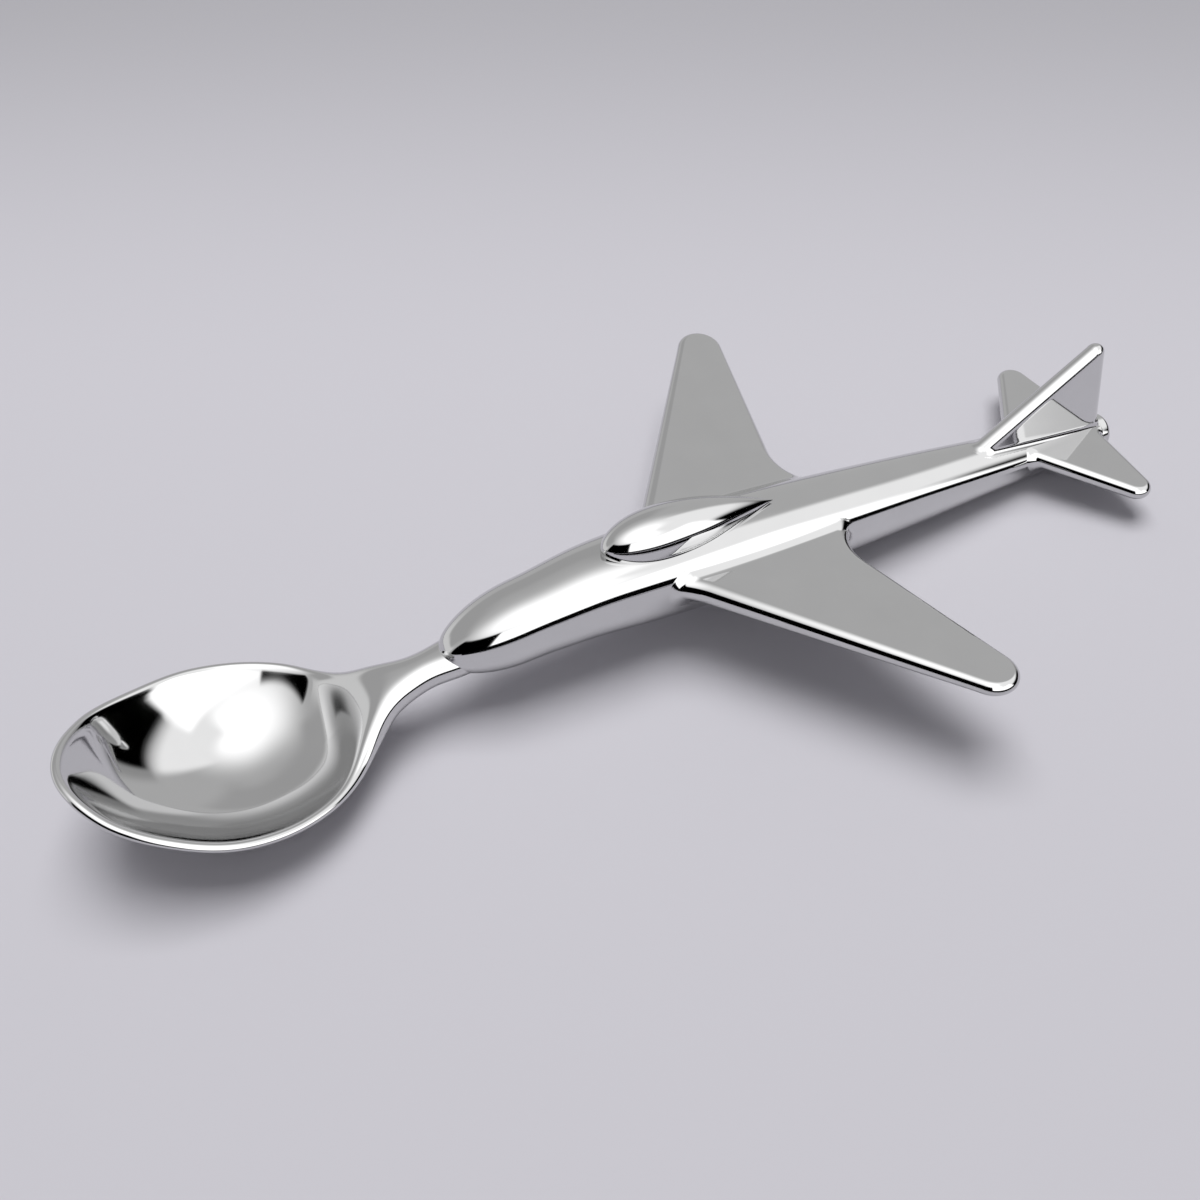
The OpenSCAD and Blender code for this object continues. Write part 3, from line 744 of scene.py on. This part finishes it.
# what the metal mirrors: a dome with its own level and a glow overhead. Each panel on it spans azimuth and
# height in degrees, with its own soft edges (from, to, below, above); later panels lie over earlier ones
room = {"radius": 1.6, "step": 1.5, "below": -1.0, "level": 0.58}
glow = {"level": 1.9, "azimuth": -85, "height": 68, "full": 4, "end": 62}
panels = [
    {"level": 0.85, "azimuth": (110, 200), "height": (-10, 25), "soft": (40, 1, 1, 24)},
    {"level": 0.48, "azimuth": (60, 170), "height": (22, 50), "soft": (20, 20, 10, 15)},
    {"level": 1.25, "azimuth": (-60, 16), "height": (24, 64), "soft": (24, 18, 12, 18)},
    {"level": 1.9, "azimuth": (-114, -36), "height": (6, 40), "soft": (2, 12, 1.5, 8)},
    {"level": 0.38, "azimuth": (-34, 24), "height": (-10, 21), "soft": (2, 18, 1, 5)},
    {"level": 0.0, "azimuth": (-36, 12), "height": (-10, 19), "soft": (2, 8, 1, 5)},
    {"level": 0.0, "azimuth": (-173, -115), "height": (-10, 43), "soft": (3, 2, 1, 6)},
    {"level": 0.0, "azimuth": (-190, -30), "height": (-10, 5.5), "soft": (1, 6, 1, 1)},
]


def roomLevel(azimuth, height):
    # the room's own level, brighter near the glow by the angle from it; each panel is mixed in over it by the
    # product of four smooth steps
    a, h = np.radians(azimuth - glow["azimuth"]), np.radians(height)
    top = math.radians(glow["height"])
    cosine = np.sin(h) * math.sin(top) + np.cos(h) * math.cos(top) * np.cos(a)
    away = np.degrees(np.arccos(np.clip(cosine, -1, 1)))
    share = smoothStep((glow["end"] - away) / (glow["end"] - glow["full"]))
    level = room["level"] + (glow["level"] - room["level"]) * share
    for panel in panels:
        share = np.ones(azimuth.shape)
        edges = [(azimuth, panel["azimuth"][0], 1), (azimuth, panel["azimuth"][1], -1),
                 (height, panel["height"][0], 1), (height, panel["height"][1], -1)]
        for (at, edge, way), soft in zip(edges, panel["soft"]):
            share = share * smoothStep((at - edge) * way / soft + 0.5)
        level = level + (panel["level"] - level) * share
    return level


def glowMaterial():
    # light of the strength that the mesh's own attribute gives; it lights nothing but what mirrors it
    material, nodes, links = newMaterial("studioGlow")
    material.cycles.emission_sampling = "NONE"
    nodes.clear()
    out, light = nodes.new("ShaderNodeOutputMaterial"), nodes.new("ShaderNodeEmission")
    strength = nodes.new("ShaderNodeAttribute")
    strength.attribute_name = "glow"
    links.new(strength.outputs["Fac"], light.inputs["Strength"])
    links.new(light.outputs["Emission"], out.inputs["Surface"])
    return material


def roomDome():
    # half a ball round the object: points R (cos h cos a, cos h sin a, sin h), with the level at each of them
    step = room["step"]
    azimuth = np.arange(-180, 180 + step, step)
    height = np.concatenate([[room["below"]], np.arange(0, 90 + step, step)])
    azimuth, height = np.meshgrid(azimuth, height)
    a, h = np.radians(azimuth), np.radians(height)
    points = room["radius"] * np.stack([np.cos(h) * np.cos(a), np.cos(h) * np.sin(a), np.sin(h)], -1)
    place = np.arange(a.size).reshape(a.shape)
    faces = np.stack([place[:-1, :-1], place[:-1, 1:], place[1:, 1:], place[1:, :-1]], -1).reshape(-1, 4)
    mesh = bpy.data.meshes.new("studioRoom")
    mesh.from_pydata(points.reshape(-1, 3).tolist(), [], faces.tolist())
    levels = mesh.attributes.new("glow", "FLOAT", "POINT")
    levels.data.foreach_set("value", roomLevel(azimuth, height).astype(np.float32).ravel())
    seenByMetalOnly(stagePiece("studioRoom", mesh, glowMaterial()))


roomDome()

# upright black cards beside the object, from start to end on the floor
flags = [
    {"name": "nearFlag", "start": (-0.12, -0.078), "end": (0.3, -0.078), "height": 0.014},
    {"name": "lowFlag", "start": (-0.06, -0.062), "end": (0.2, -0.062), "height": 0.0012},
]
flagTone = 0.004


def standFlag(name, start, end, height):
    # one quad in black that has no gloss
    mesh = bpy.data.meshes.new(name)
    mesh.from_pydata([(*start, 0.0), (*end, 0.0), (*end, height), (*start, height)], [], [(0, 1, 2, 3)])
    material, nodes, _ = newMaterial(name)
    card = nodes["Principled BSDF"]
    card.inputs["Base Color"].default_value = (flagTone, flagTone, flagTone, 1)
    card.inputs["Specular IOR Level"].default_value = 0.0
    seenByMetalOnly(stagePiece(name, mesh, material))


for flag in flags:
    standFlag(**flag)


def plainWorld():
    # soft fill for the floor; camera, metal and glass see a pale backdrop
    world = bpy.data.worlds.new("room")
    bpy.context.scene.world = world
    world.use_nodes = True
    nodes, links = world.node_tree.nodes, world.node_tree.links
    fill = nodes["Background"]
    fill.inputs["Color"].default_value = (*studio["fill"], 1)
    pale = nodes.new("ShaderNodeBackground")
    pale.inputs["Color"].default_value = (*studio["backdrop"], 1)
    ray = nodes.new("ShaderNodeLightPath")

    def either(first, second):
        larger = nodes.new("ShaderNodeMath")
        larger.operation = "MAXIMUM"
        links.new(first, larger.inputs[0])
        links.new(second, larger.inputs[1])
        return larger.outputs["Value"]

    seen = either(ray.outputs["Is Camera Ray"], ray.outputs["Is Glossy Ray"])
    mix = nodes.new("ShaderNodeMixShader")
    links.new(either(seen, ray.outputs["Is Transmission Ray"]), mix.inputs["Fac"])
    links.new(fill.outputs["Background"], mix.inputs[1])
    links.new(pale.outputs["Background"], mix.inputs[2])
    links.new(mix.outputs["Shader"], nodes["World Output"].inputs["Surface"])


plainWorld()
print("studio ready")

# camera, with its axes and its place in the handle's frame
photoCamera = {
    "lens": 34.5, "sensor": 36, "clipStart": 0.001,
    "right": (0.89535, -0.44104, 0.06188),
    "up": (0.2852, 0.67452, 0.68094),
    "back": (-0.34206, -0.59203, 0.72972),
    "place": (-53.97, -84.54, 101.66),
}


def placeCamera():
    # the axes and the place are turned by the pitch and lifted as the shapes are
    turn = Matrix.Rotation(math.radians(lay["pitch"]), 3, "Y")
    axes = Matrix([turn @ Vector(photoCamera[k]) for k in ("right", "up", "back")]).transposed()
    place = turn @ Vector(photoCamera["place"]) + Vector((lay["shift"], 0, lay["lift"]))
    data = bpy.data.cameras.new("photoCamera")
    data.lens, data.sensor_width = photoCamera["lens"], photoCamera["sensor"]
    data.clip_start = photoCamera["clipStart"]
    camera = bpy.data.objects.new("photoCamera", data)
    camera.matrix_world = Matrix.Translation(place / 1000) @ axes.to_4x4()
    bpy.context.scene.collection.objects.link(camera)
    bpy.context.scene.camera = camera


placeCamera()
bpy.context.scene.view_settings.view_transform = "Standard"
print("scene ready")
